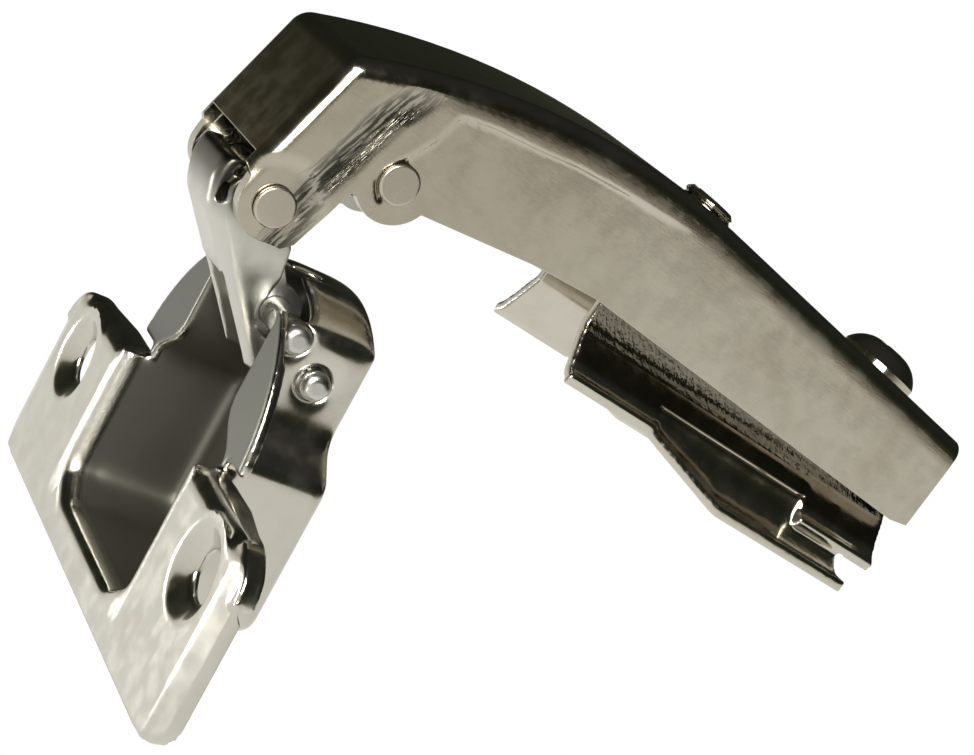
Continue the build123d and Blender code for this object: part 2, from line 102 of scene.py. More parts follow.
# The panel pressed into each side: its left border at each z, its top border at each x, and the
# band of closer cuts along the top border
PANEL_DEPTH = 0.42
PANEL_LEFT = [
    (7.9, -50.5), (9.4, -51.8), (10.7, -51.8), (12.2, -50.9),
    (15.3, -49.3), (18.3, -48.6), (30.0, -48.4),
]
PANEL_TOP = [
    (-49.0, 18.2), (-47.6, 19.0), (-44.5, 19.7), (-39.2, 20.4),
    (-35.1, 21.1), (-29.4, 21.6), (-18.0, 22.3),
]
PANEL_LEFT_SLOPE = 0.8
PANEL_TOP_SLOPE = 0.6
PANEL_FADE = (-31.0, -20.0)
BORDER_MIDDLE = PANEL_TOP[4]
BORDER_SLOPE = math.radians(6.5)
BORDER_BAND = (-0.8, 0.2)
BORDER_CUTS = 0.12

# The crease between the ears, the dish round the front pivot, and the painted shade that darkens the arm towards
# the head
CREASE_MIDDLE = [(6.0, -56.2), (10.0, -55.2), (15.0, -54.2), (18.0, -52.6), (21.0, -50.6)]
CREASE_HALF_WIDTH = 2.1
CREASE_DEPTH = 0.36
CREASE_FADE = (15.5, 20.0)
CREASE_LEAN = math.radians(14.0)
FRONT_PIVOT = (-58.39, 2.54)
EAR_DISH_SLOPE = (3.7, 5.1)
EAR_DISH_DEPTH = 0.22
SHADE_REACH = (12.0, 46.0)

# The arm's top and the bend below it, where the sides lean inwards; the tail's top slopes down
ARM_BEND = 1.7
ARM_TOP = [
    (-59.0, 18.05), (-53.0, 20.33), (-47.0, 22.11), (-41.0, 23.43), (-35.0, 24.32),
    (-29.0, 24.77), (-23.0, 24.81), (-17.0, 24.42), (23.0, 19.88),
]
TOP_LEAN = 0.04
TOP_LEAN_HEIGHT = 1.6
TOP_LEAN_FROM = (-52.0, -48.0)
TOP_LEAN_CUTS = 0.3
TAIL_SLOPE = math.radians(6.5)

# Cup, in millimetres: v runs towards the arm, y along the pins, height out of the door
CUP_LEAN = math.radians(7.64)
CUP_PLACE = (-52.0, -26.3)
CUP_SHEET = 1.1
CUP_GRID = 0.27
WING_END = 33.0
WING_ARM_EDGE = 6.0
WING_CORNER = 4.6
CORNER_V = WING_ARM_EDGE - WING_CORNER
CORNER_WIDE = WING_END - WING_CORNER
WRAP_STATIONS = 14
WRAP_TOP = -0.5
SKIRT_DEPTH = 4.0
SKIRT_SHARES = [(21.0, 1.0), (26.4, 0.74), (31.0, 0.66), (36.0, 0.62)]
SKIRT_SLANT = 0.6
SKIRT_TURN = (CORNER_V - 1.4, CORNER_V - 0.2)
SKIRT_MARGIN = 0.3
SKIRT_TOP = (0.8, 2.0)
HOLE_MIDDLE = 24.0
WING_CREASE = 30.0
MOUTH_HALF_WIDTH = 12.8
MOUTH_LOW = -9.8
NECK_HALF_WIDTH = 8.7
POCKET_DEPTH = 12.8
POCKET_MIDDLE = (2.0, 0.0, -6.5)

# Where the cup's sheet is soft, and the rounds of softening there. A zone's rows are a field and
# the two values between which the zone grows from nothing to its full strength.
MOUTH = [("depth", 5.0, 2.5), ("wide", 16.5, 14.5), ("v", 7.5, 4.0), ("v", -12.4, -11.4)]
MOUTH_ROUNDS = 26
POCKET = [
    ("depth", 3.2, 4.6),
    ("depth", POCKET_DEPTH + 0.7, POCKET_DEPTH - 0.3),
    ("wide", MOUTH_HALF_WIDTH + 0.6, MOUTH_HALF_WIDTH),
]
POCKET_ROUNDS = 60
ARM_EDGES = [("wide", 14.0, 18.0), ("v", 2.0, 3.6)]
ARM_EDGE_ROUNDS = 24
ARM_EDGE_SWELL = 0.5
DISHES = [("from_hole", 6.6, 5.4), ("v", 4.4, 3.4)]
CREASES = [("from_crease", 2.2, 1.0)]
WING_ROUNDS = 14
WING_SWELL = 0.3

# The cup's marks: the pocket's inside, which gets painted shade, the coined border of the mouth, and the ledges
# beside the neck, whose upward-facing sheet gets a painted dark reflection
INSIDE_MOUTH = [("wide", MOUTH_HALF_WIDTH + 0.5, MOUTH_HALF_WIDTH - 0.1)]
INSIDE_NECK = [("wide", NECK_HALF_WIDTH + 0.5, NECK_HALF_WIDTH - 0.1)]
BELOW_LEDGE = [("depth", 3.4, 3.8)]
NEAR_NECK = [("v", 5.6, 6.2)]
INSIDE = [
    ("depth", 1.2, 2.6),
    ("depth", POCKET_DEPTH + 0.7, POCKET_DEPTH + 0.3),
    ("v", MOUTH_LOW - 0.6, MOUTH_LOW),
    ("facing", -0.15, 0.1),
]
COINED = [
    ("wide", 12.0, 12.6),
    ("wide", 15.0, 14.2),
    ("depth", 2.4, 1.4),
    ("v", 6.5, 5.5),
    ("v", -11.5, -10.0),
]
# Where upward-facing ledge sheet gets a painted dark reflection
LEDGE = [("v", 5.6, 6.4), ("depth", 0.9, 1.5), ("upward", 0.55, 0.85)]

# Outer link, in millimetres: its pivots' holes and its stop tab, curled back over the front pin
LINK_GRID = 0.2
LINK_SLANT = math.radians(42.0)
CUP_PIVOT = (-45.11, -9.515)
LINK_HOLES = [(FRONT_PIVOT, 1.85), (CUP_PIVOT, 1.6)]
LEAST_DIVISOR = 1e-6
LINK_ROUNDS = 8
LINK_SWELL = 0.35
TAB_FRONT = (-60.0, -61.2)
TAB_CURL_FROM = 0.2
TAB_CURL = 0.11
# The tab's top gets a painted dark reflection, fading in between these heights
TAB_SHADE = (-2.2, 2.0)

# Mounting plate, in millimetres: its rail, its feet and the slit between them; zones as for the cup
PLATE_GRID = 0.3
PLATE_ROUNDS = 14
PLATE_SWELL = 0.47
RAIL_HALF_WIDTH = 6.5
FOOT_TOP = 9.2
SLIT_ENDS = (-10.8, 11.0)
SLIT_MIDDLE = 6.1
SLIT_LIFT = 0.35
SLIT_DROP = 0.35
ALONG_SLIT = [
    ("x", SLIT_ENDS[0] - 0.2, SLIT_ENDS[0] + 0.4),
    ("x", SLIT_ENDS[1] + 0.2, SLIT_ENDS[1] - 0.4),
]
ABOVE_SLIT = [("z", 7.6, 6.5)]
ABOVE_SLIT_WIDE = 8.6
BELOW_SLIT = [("z", 4.6, 5.4), ("wide", 8.8, 8.2)]
# The wall under the arm's edge gets painted shade: the wrinkled strip at its top and the band below it
WALL = [("wide", RAIL_HALF_WIDTH - 0.7, RAIL_HALF_WIDTH - 0.4), ("outward", 0.0, 0.3)]
WRINKLED = WALL + [("z", FOOT_TOP - 1.3, FOOT_TOP - 0.9)]
FOOT = [("z", FOOT_TOP - 1.0, FOOT_TOP - 2.5)]
BAND = WALL + [("z", 5.0, 5.6), ("z", FOOT_TOP - 0.9, FOOT_TOP - 1.3)]

# Adjusting screw, in millimetres along its own axis
THREAD_SPAN = (-4.0, 0.9)
THREAD_PITCH = 0.62
THREAD_DEPTH = 0.24
THREAD_STEEPNESS = 1.25
THREAD_START = 0.2
THREAD_END = 0.12
THREAD_CUTS = 8
THREAD_SHARP_ANGLE = math.radians(38.0)
SHANK_RADIUS = 3.0
SHANK_TOLERANCE = 0.03

# Finishes: the colours of the plating, of its drawn streaks, and of the painted shade and painted dark reflections
# laid on it
NICKEL = (0.64, 0.61, 0.53, 1.0)
STAIN = (0.42, 0.37, 0.28, 1.0)
PALE_STREAK = (0.8, 0.78, 0.7, 1.0)
CUP_NICKEL = (0.66, 0.64, 0.58, 1.0)
LINK_NICKEL = (0.7, 0.69, 0.64, 1.0)
RIVET_NICKEL = (0.58, 0.54, 0.46, 1.0)
ZINC = (0.62, 0.62, 0.6, 1.0)
SPRING_STEEL = (0.42, 0.41, 0.38, 1.0)
# Painted shade and painted dark reflections: the arm darker towards the head, the crease and its dark streaks, the
# pocket, the ledges, the link's tab, the plate's wall and band
ARM_SHADE = (0.44, 0.4, 0.32, 1.0)
CREASE_PAINTED_SHADE = (0.2, 0.19, 0.165, 1.0)
CREASE_STREAK_PAINTED_DARK = (0.05, 0.05, 0.042, 1.0)
POCKET_PAINTED_SHADE = (0.17, 0.165, 0.14, 1.0)
LEDGE_PAINTED_DARK_REFLECTION = (0.14, 0.142, 0.122, 1.0)
TAB_PAINTED_DARK_REFLECTION = (0.09, 0.088, 0.07, 1.0)
WALL_PAINTED_SHADE = (0.18, 0.165, 0.13, 1.0)
BAND_PAINTED_SHADE = (0.2, 0.15, 0.1, 1.0)
EDGE_SAMPLES = 6
PALE_STREAK_SHARE = 0.12
ROLLING = (500.0, 500.0, 6000.0)

# What a finish does where a piece's mesh carries a mark. The sizes are a grain's own, in
# millimetres, along axes turned about Y; the height of a pressed grain is in millimetres too.
# The first kind of row tints its mark towards painted shade or a painted dark reflection; the second lays drawn
# streaks painted dark as a reflection.
PaintedShade = namedtuple("PaintedShade", "mark share colour")
DrawnStreakShade = namedtuple("DrawnStreakShade", "mark sizes turn colour")
Pressed = namedtuple("Pressed", "mark sizes turn height")
Dull = namedtuple("Dull", "mark roughness")


def add_object(name, data):
    thing = bpy.data.objects.new(name, data)
    bpy.context.scene.collection.objects.link(thing)
    return thing


def aim_camera():
    """The camera stands where the photograph was taken, in the part's own frame."""
    data = bpy.data.cameras.new("camera")
    data.sensor_width = SENSOR_WIDTH
    data.lens = FOCAL_PIXELS / PHOTO_WIDTH * SENSOR_WIDTH
    data.clip_start = CLIP_START
    camera = add_object("camera", data)
    columns = [Vector(CAMERA_RIGHT), -Vector(CAMERA_DOWN), -Vector(CAMERA_AHEAD)]
    turn = Matrix(columns).transposed().to_4x4()
    camera.matrix_world = Matrix.Translation(CAMERA_PLACE) @ turn
    bpy.context.scene.camera = camera


def add(tree, kind, **settings):
    node = tree.nodes.new(kind)
    for name, value in settings.items():
        setattr(node, name, value)
    return node


def join(tree, source, sink):
    tree.links.new(source, sink)


def put(tree, value, socket):
    """Sets a socket to a number or colour, or links another socket to it."""
    if isinstance(value, (int, float, tuple)):
        socket.default_value = value
    else:
        join(tree, value, socket)


def calculate(tree, operation, first, second):
    """A math node; each operand is a number or a socket."""
    node = add(tree, "ShaderNodeMath", operation=operation)
    put(tree, first, node.inputs[0])
    put(tree, second, node.inputs[1])
    return node.outputs[0]


def multiply(tree, first, second):
    return calculate(tree, "MULTIPLY", first, second)


def fade(tree, value, low, high, start=0.0, end=1.0):
    """Maps a value smoothly from low and high to start and end."""
    node = add(tree, "ShaderNodeMapRange", interpolation_type="SMOOTHSTEP")
    join(tree, value, node.inputs["Value"])
    for name, number in (("From Min", low), ("From Max", high), ("To Min", start), ("To Max", end)):
        put(tree, number, node.inputs[name])
    return node.outputs["Result"]


def noise(tree, place, scale, detail, roughness):
    node = add(tree, "ShaderNodeTexNoise")
    node.inputs["Scale"].default_value = scale
    node.inputs["Detail"].default_value = detail
    node.inputs["Roughness"].default_value = roughness
    join(tree, place, node.inputs["Vector"])
    return node.outputs["Fac"]


def squeezed(tree, place, scale):
    """The same place, squeezed by a scale of its own along each axis, for streaks."""
    node = add(tree, "ShaderNodeMapping")
    join(tree, place, node.inputs["Vector"])
    node.inputs["Scale"].default_value = scale
    return node.outputs["Vector"]


def grain_place(tree, place, sizes, turn):
    """The place in steps of a grain's own sizes, in millimetres, along axes turned about Y."""
    node = add(tree, "ShaderNodeMapping", vector_type="TEXTURE")
    join(tree, place, node.inputs["Vector"])
    node.inputs["Rotation"].default_value = (0.0, turn, 0.0)
    node.inputs["Scale"].default_value = tuple(size * MM for size in sizes)
    return node.outputs["Vector"]


def tint(tree, factor, first, second):
    """Blends two colours; each is a tuple or a socket."""
    node = add(tree, "ShaderNodeMix", data_type="RGBA")
    put(tree, factor, node.inputs["Factor"])
    for name, value in (("A", first), ("B", second)):
        socket = [s for s in node.inputs if s.name == name and s.type == "RGBA"][0]
        put(tree, value, socket)
    return [s for s in node.outputs if s.type == "RGBA"][0]


def mark(tree, label):
    """A mask that a piece's own mesh carries."""
    return add(tree, "ShaderNodeAttribute", attribute_name=label).outputs["Fac"]


def colour_ramp(tree, factor, tones):
    ramp = add(tree, "ShaderNodeValToRGB")
    join(tree, factor, ramp.inputs["Fac"])
    elements = ramp.color_ramp.elements
    while len(elements) < len(tones):
        elements.new(0.5)
    for element, (position, colour) in zip(elements, tones):
        element.position = position
        element.color = (*colour, 1.0)
    return ramp.outputs["Color"]


def new_group(name, inputs, outputs):
    """An empty node group with named sockets, and its two end nodes."""
    group = bpy.data.node_groups.new(name, "ShaderNodeTree")
    for label, value in inputs.items():
        kind = "NodeSocketColor" if isinstance(value, tuple) else "NodeSocketFloat"
        socket = group.interface.new_socket(name=label, in_out="INPUT", socket_type=kind)
        socket.default_value = value
    for label, kind in outputs.items():
        group.interface.new_socket(name=label, in_out="OUTPUT", socket_type=kind)
    return group, group.nodes.new("NodeGroupInput"), group.nodes.new("NodeGroupOutput")


def build_plating():
    """Warm nickel: faint clouds, dull and bright patches, rolling streaks and the sheet's waves."""
    group, source, sink = new_group(
        "nickel plating",
        {
            "Base": NICKEL,
            "Stain": STAIN,
            "Stain Amount": 0.2,
            "Dull": 0.24,
            "Bright": 0.15,
            "Wave Height": 0.07,
            "Streak Height": 0.002,
            "Grain Height": 0.003,
        },
        {"Color": "NodeSocketColor", "Roughness": "NodeSocketFloat", "Height": "NodeSocketFloat"},
    )
    given = source.outputs
    place = add(group, "ShaderNodeTexCoord").outputs["Object"]
    clouds = noise(group, place, scale=120.0, detail=4.0, roughness=0.6)
    patches = noise(group, place, scale=420.0, detail=3.0, roughness=0.55)
    waves = noise(group, place, scale=75.0, detail=1.0, roughness=0.4)
    grain = noise(group, place, scale=3200.0, detail=2.0, roughness=0.6)
    rolled = squeezed(group, place, ROLLING)
    streaks = noise(group, rolled, scale=1.0, detail=3.0, roughness=0.6)
    stained = multiply(group, fade(group, clouds, low=0.4, high=0.7), given["Stain Amount"])
    colour = tint(group, stained, given["Base"], given["Stain"])
    streaked = multiply(group, fade(group, streaks, low=0.5, high=0.8), PALE_STREAK_SHARE)
    colour = tint(group, streaked, colour, PALE_STREAK)
    dullness = fade(group, patches, low=0.36, high=0.66, start=given["Bright"], end=given["Dull"])
    height = multiply(group, waves, given["Wave Height"])
    for field, label in ((streaks, "Streak Height"), (grain, "Grain Height")):
        height = calculate(group, "ADD", height, multiply(group, field, given[label]))
    join(group, colour, sink.inputs["Color"])
    join(group, dullness, sink.inputs["Roughness"])
    join(group, height, sink.inputs["Height"])
    return group


def plated(name, plating, values, edge=0.12, painted_shades=(), drawn=(), pressed=(), dull=()):
    """A plated finish; edge is the rounding of its cut edges, in millimetres."""
    material = bpy.data.materials.new(name)
    material.use_nodes = True
    tree = material.node_tree
    shader = tree.nodes["Principled BSDF"]
    shader.inputs["Metallic"].default_value = 1.0
    finish = add(tree, "ShaderNodeGroup", node_tree=plating)
    for label, value in values.items():
        finish.inputs[label].default_value = value
    rounding = add(tree, "ShaderNodeBevel", samples=EDGE_SAMPLES)
    rounding.inputs["Radius"].default_value = edge * MM
    relief = add(tree, "ShaderNodeBump")
    relief.inputs["Distance"].default_value = MM
    relief.inputs["Strength"].default_value = 1.0
    join(tree, rounding.outputs["Normal"], relief.inputs["Normal"])
    place = add(tree, "ShaderNodeTexCoord").outputs["Object"]
    colour = finish.outputs["Color"]
    # Painted shade and painted dark reflections over the plating's colour
    for row in painted_shades:
        colour = tint(tree, multiply(tree, mark(tree, row.mark), row.share), colour, row.colour)
    # Drawn streaks, painted dark as a reflection
    for row in drawn:
        streaks = noise(
            tree, grain_place(tree, place, row.sizes, row.turn), scale=1.0, detail=3.0, roughness=0.6
        )
        streaked = multiply(tree, fade(tree, streaks, low=0.42, high=0.56), mark(tree, row.mark))
        colour = tint(tree, streaked, colour, row.colour)
    height = finish.outputs["Height"]
    for row in pressed:
        grain = noise(
            tree, grain_place(tree, place, row.sizes, row.turn), scale=1.0, detail=2.0, roughness=0.6
        )
        raised = multiply(tree, multiply(tree, grain, mark(tree, row.mark)), row.height)
        height = calculate(tree, "ADD", height, raised)
    dullness = finish.outputs["Roughness"]
    for row in dull:
        least = multiply(tree, mark(tree, row.mark), row.roughness)
        dullness = calculate(tree, "MAXIMUM", dullness, least)
    join(tree, colour, shader.inputs["Base Color"])
    join(tree, dullness, shader.inputs["Roughness"])
    join(tree, height, relief.inputs["Height"])
    join(tree, relief.outputs["Normal"], shader.inputs["Normal"])
    return material


def dress(piece, material):
    piece.data.materials.clear()
    piece.data.materials.append(material)


def stand_for(node, name, mesh, material):
    """A new piece in place of a frame node; it rides on the body that has the node's name."""
    piece = add_object(name, mesh)
    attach(piece, node)
    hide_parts(node)
    dress(piece, material)
    return piece


def between(table, key):
    """Reads a value from a short list of (key, value) stations, in a straight line between them."""
    if key <= table[0][0]:
        return table[0][1]
    for (low, start), (high, end) in zip(table, table[1:]):
        if key <= high:
            return start + (end - start) * (key - low) / (high - low)
    return table[-1][1]


def ease(value, low, high):
    """0 below low, 1 above high, smooth between."""
    share = min(1.0, max(0.0, (value - low) / (high - low)))
    return share * share * (3 - 2 * share)


def ease_all(values, start, full):
    """The same for an array: 0 at start, 1 at full, whichever of them is larger."""
    share = np.clip((values - start) / (full - start), 0, 1)
    return share * share * (3 - 2 * share)


def zone(fields, rows):
    """How strongly each point lies in a zone: all of its rows have to hold."""
    strength = 1.0
    for field, start, full in rows:
        strength = strength * ease_all(fields[field], start, full)
    return strength


def steps(low, high, spacing):
    count = round((high - low) / spacing)
    return [low + index * (high - low) / count for index in range(count + 1)]


def welded(node):
    """A copy of a frame node's mesh, with its doubled points joined."""
    made = bmesh.new()
    made.from_mesh(frame["nodes"][node].data)
    bmesh.ops.remove_doubles(made, verts=made.verts, dist=WELD)
    return made


def open_mesh(node):
    """A frame node's mesh with its flat faces whole again."""
    made = welded(node)
    bmesh.ops.dissolve_limit(
        made, angle_limit=FLAT_ANGLE, verts=made.verts, edges=made.edges, use_dissolve_boundaries=False
    )
    return made


def slice_mesh(made, origin, normal):
    """Cuts all faces of a mesh where a plane crosses them."""
    geometry = made.verts[:] + made.edges[:] + made.faces[:]
    bmesh.ops.bisect_plane(made, geom=geometry, dist=CUT_TOLERANCE, plane_co=origin, plane_no=normal)


def close_mesh(made, node, name, material, sharp=SHARP_ANGLE):
    """Turns worked geometry into a piece that stands for a frame node."""
    bmesh.ops.triangulate(made, faces=[f for f in made.faces if len(f.verts) > 4])
    for face in made.faces:
        face.smooth = True
    for edge in made.edges:
        if len(edge.link_faces) == 2:
            edge.smooth = edge.calc_face_angle() < sharp
    mesh = bpy.data.meshes.new(name)
    made.to_mesh(mesh)
    made.free()
    piece = stand_for(node, name, mesh, material)
    weigh = piece.modifiers.new("flat faces lead", "WEIGHTED_NORMAL")
    weigh.keep_sharp = True
    weigh.weight = FLAT_WEIGHT


def crease_bowl(x, z):
    """1 in the middle of the crease between the ears, 0 beside it and above it."""
    across = (x - between(CREASE_MIDDLE, z)) / CREASE_HALF_WIDTH
    if abs(across) >= 1:
        return 0.0
    return (1 - across * across) ** 2 * (1 - ease(z, *CREASE_FADE))


def pressed_depth(x, z):
    """How far the arm's side lies inwards of its flat plane, in millimetres, at a point of it."""
    left = between(PANEL_LEFT, z)
    top = between(PANEL_TOP, x)
    panel = ease(x, left, left + PANEL_LEFT_SLOPE) * ease(top - z, 0.0, PANEL_TOP_SLOPE)
    panel *= 1 - ease(x, *PANEL_FADE)
    from_pivot = math.hypot(x - FRONT_PIVOT[0], z - FRONT_PIVOT[1])
    dish = 1 - ease(from_pivot, *EAR_DISH_SLOPE)
    bend_from = between(ARM_TOP, x) - ARM_BEND
    above = min(1.0, max(0.0, z - bend_from + TOP_LEAN_HEIGHT) / TOP_LEAN_HEIGHT)
    lean = TOP_LEAN * above * above * ease(x, *TOP_LEAN_FROM)
    return PANEL_DEPTH * panel + CREASE_DEPTH * crease_bowl(x, z) + EAR_DISH_DEPTH * dish + lean


def press_arm(material):
    """The arm with the press marks on its sides."""
    made = open_mesh("arm")
    # Marks: painted shade darkening towards the head, and the crease, which gets painted shade and dark painted
    # streaks besides its bump
    crease = made.verts.layers.float.new("crease")
    shade = made.verts.layers.float.new("shade")
    for x in steps(*PRESSED_ZONE, CUT_SPACING):
        slice_mesh(made, (x * MM, 0, 0), (1, 0, 0))
    for z in steps(*PRESSED_HEIGHTS, CUT_SPACING):
        slice_mesh(made, (0, 0, z * MM), (0, 0, 1))
    for rise in steps(*BORDER_BAND, BORDER_CUTS):
        place = (BORDER_MIDDLE[0] * MM, 0, (BORDER_MIDDLE[1] + rise) * MM)
        slice_mesh(made, place, (-math.sin(BORDER_SLOPE), 0, math.cos(BORDER_SLOPE)))
    for drop in steps(ARM_BEND, ARM_BEND + TOP_LEAN_HEIGHT, TOP_LEAN_CUTS):
        place = (0, 0, (between(ARM_TOP, 0.0) - drop) * MM)
        slice_mesh(made, place, (math.sin(TAIL_SLOPE), 0, math.cos(TAIL_SLOPE)))
    inner_face = ARM_HALF_WIDTH - ARM_SHEET
    for vertex in made.verts:
        x, y, z = (value / MM for value in vertex.co)
        vertex[shade] = ease(-x, *SHADE_REACH)
        if abs(y) < inner_face - SIDE_TOLERANCE:
            continue
        vertex.co.y -= math.copysign(pressed_depth(x, z), y) * MM
        vertex[crease] = crease_bowl(x, z) ** 0.5
    close_mesh(made, "arm", "arm_pressed", material)


def thread_screw(axis_place, axis, material):
    """The adjusting screw, whose plain shank gets its thread."""
    made = open_mesh("adjusting_screw")
    low, high = THREAD_SPAN
    origin, along = Vector(axis_place), Vector(axis).normalized()
    sideways = along.cross(Vector((0, 1, 0))).normalized()
    upright = along.cross(sideways)
    for height in steps(low, high, THREAD_PITCH / THREAD_CUTS):
        slice_mesh(made, origin + along * height * MM, along)
    for vertex in made.verts:
        away = vertex.co - origin
        height = away.dot(along) / MM
        outward = away - along * away.dot(along)
        radius = outward.length / MM
        if abs(radius - SHANK_RADIUS) > SHANK_TOLERANCE or not low <= height <= high:
            continue
        turn = math.atan2(outward.dot(upright), outward.dot(sideways)) / math.tau
        phase = (height / THREAD_PITCH + turn) % 1.0
        groove = min(1.0, THREAD_STEEPNESS * (1 - abs(2 * phase - 1)))
        groove *= ease(height, low, low + THREAD_START) * ease(high - height, 0.0, THREAD_END)
        vertex.co -= outward.normalized() * groove * THREAD_DEPTH * MM
    name = "adjusting_screw_threaded"
    close_mesh(made, "adjusting_screw", name, material, THREAD_SHARP_ANGLE)


def cup_axes():
    """From the cup's own (v, y, height) to the part's frame."""
    lean_sin, lean_cos = math.sin(CUP_LEAN), math.cos(CUP_LEAN)
    towards_arm = Vector((-lean_sin, 0, lean_cos))
    outwards = Vector((-lean_cos, 0, -lean_sin))
    turn = Matrix((towards_arm, (0, 1, 0), outwards)).transposed().to_4x4()
    return Matrix.Translation((CUP_PLACE[0] * MM, 0, CUP_PLACE[1] * MM)) @ turn


def loop_rings(made, rings):
    """Joins rings of four corners to a closed bar."""
    for first, second in zip(rings, rings[1:]):
        for index in range(4):
            after = (index + 1) % 4
            made.faces.new((first[index], first[after], second[after], second[index]))
    made.faces.new(rings[0])
    made.faces.new(rings[-1])


def add_corner_wraps(made):
    """The skirts where they turn round the two corners of the wings on the arm's side."""
    outer, inner = WING_CORNER, WING_CORNER - CUP_SHEET
    low = -SKIRT_DEPTH
    profile = [(outer, WRAP_TOP), (inner, WRAP_TOP), (inner, low), (outer, low)]
    for side in (-1, 1):
        rings = []
        for index in range(WRAP_STATIONS + 1):
            angle = index / WRAP_STATIONS * math.pi / 2
            ring = []
            for radius, height in profile:
                v = CORNER_V + radius * math.cos(angle)
                y = CORNER_WIDE + radius * math.sin(angle)
                ring.append(made.verts.new((v * MM, side * y * MM, height * MM)))
            rings.append(ring)
        loop_rings(made, rings)


def one_skin(made, grid):
    """Merges overlapping closed shapes to one even mesh."""
    bmesh.ops.recalc_face_normals(made, faces=made.faces)
    mesh = bpy.data.meshes.new("rough")
    made.to_mesh(mesh)
    made.free()
    rough = add_object("rough", mesh)
    remesh = rough.modifiers.new("skin", "REMESH")
    remesh.mode = "VOXEL"
    remesh.voxel_size = grid * MM
    shown = rough.evaluated_get(bpy.context.evaluated_depsgraph_get())
    skin = bpy.data.meshes.new_from_object(shown)
    bpy.data.objects.remove(rough)
    return skin


def read_vectors(mesh, field):
    """A row of three for each point of a mesh: its place or its normal."""
    values = np.zeros(len(mesh.vertices) * 3)
    mesh.vertices.foreach_get(field, values)
    return values.reshape(-1, 3)


def read_normals(mesh, points):
    """Each point's normal, after the mesh has taken the worked points."""
    mesh.vertices.foreach_set("co", points.ravel())
    mesh.update()
    return read_vectors(mesh, "normal")


def relax(mesh, points, rounds, weight, swell=0.0):
    """Moves each point towards its neighbours' middle.

    With swell, each round is followed by a push back that keeps the volume."""
    edges = np.zeros(len(mesh.edges) * 2, int)
    mesh.edges.foreach_get("vertices", edges)
    first, second = edges.reshape(-1, 2).T
    count = np.bincount(first, minlength=len(points)) + np.bincount(second, minlength=len(points))
    shares = (RELAX_SHARE, -swell) if swell else (RELAX_SHARE,)
    for _ in range(rounds):
        for share in shares:
            middle = np.zeros_like(points)
            for axis in range(3):
                middle[:, axis] += np.bincount(first, points[second, axis], len(points))
                middle[:, axis] += np.bincount(second, points[first, axis], len(points))
            middle /= count[:, None]
            points = points + share * weight[:, None] * (middle - points)
    return points


def smooth_skin(node, to_part, grid, extras=None):
    """A frame node's mesh as one even skin in its own axes, with what extras adds to it."""
    made = welded(node)
    made.transform(to_part.inverted())
    if extras:
        extras(made)
    mesh = one_skin(made, grid)
    points = read_vectors(mesh, "co")
    return mesh, relax(mesh, points, SKIN_ROUNDS, np.ones(len(points)), SKIN_SWELL)


def finish_skin(mesh, points, to_part, marks):
    """Gives a skin its worked points and marks, and puts it in the part's frame."""
    mesh.vertices.foreach_set("co", points.ravel())
    for label, values in marks.items():
        layer = mesh.attributes.new(label, "FLOAT", "POINT")
        layer.data.foreach_set("value", values.astype(np.float32))
    mesh.transform(to_part)
    mesh.polygons.foreach_set("use_smooth", [True] * len(mesh.polygons))
    mesh.update()


def skirt_share(v, wide, height):
    """How much of its depth the skirt keeps: it gets lower towards and round the wing's corner."""
    along = wide - SKIRT_SLANT * (v - WING_ARM_EDGE)
    share = np.interp(along, *np.transpose(SKIRT_SHARES))
    round_corner = (wide > CORNER_WIDE) * ease_all(v, *SKIRT_TURN)
    from_corner = np.hypot(v - CORNER_V, wide - CORNER_WIDE)
    round_corner *= from_corner > WING_CORNER - CUP_SHEET - SKIRT_MARGIN
    straight = (wide <= CORNER_WIDE) & (v > WING_ARM_EDGE - CUP_SHEET - SKIRT_MARGIN)
    return 1 - (1 - share) * np.maximum(round_corner, straight) * ease_all(-height, *SKIRT_TOP)


def draw_cup(material):
    """The cup as one drawn sheet: soft mouth, creased wing ends and skirts that turn the corners."""
    to_part = cup_axes()
    mesh, points = smooth_skin("cup", to_part, CUP_GRID, add_corner_wraps)
    v, y, height = (points / MM).T
    wide = np.abs(y)
    points[:, 2] *= skirt_share(v, wide, height)
    depth = -points[:, 2] / MM
    fields = {
        "v": v,
        "wide": wide,
        "depth": depth,
        "from_hole": np.hypot(wide - HOLE_MIDDLE, v),
        "from_crease": np.abs(wide - WING_CREASE),
    }
    points = relax(mesh, points, MOUTH_ROUNDS, zone(fields, MOUTH))
    points = relax(mesh, points, POCKET_ROUNDS, zone(fields, POCKET))
    points = relax(mesh, points, ARM_EDGE_ROUNDS, zone(fields, ARM_EDGES), ARM_EDGE_SWELL)
    wings = np.maximum(zone(fields, DISHES), zone(fields, CREASES))
    points = relax(mesh, points, WING_ROUNDS, wings, WING_SWELL)

    normals = read_normals(mesh, points)
    towards = np.array(POCKET_MIDDLE) * MM - points
    towards /= np.linalg.norm(towards, axis=1)[:, None]
    fields["facing"] = (towards * normals).sum(axis=1)
    fields["upward"] = normals[:, 2]
    in_mouth = zone(fields, INSIDE_MOUTH)
    in_neck = np.maximum(zone(fields, INSIDE_NECK), in_mouth * zone(fields, BELOW_LEDGE))
    near_neck = zone(fields, NEAR_NECK)
    inside = in_mouth * (1 - near_neck) + near_neck * in_neck
    inside *= zone(fields, INSIDE)
    # The pocket's inside gets painted shade and the ledges a painted dark reflection; the coined border is a grain
    marks = {"inside": inside, "coined": zone(fields, COINED), "ledge": zone(fields, LEDGE)}
    finish_skin(mesh, points, to_part, marks)
    stand_for("cup", "cup_drawn", mesh, material)


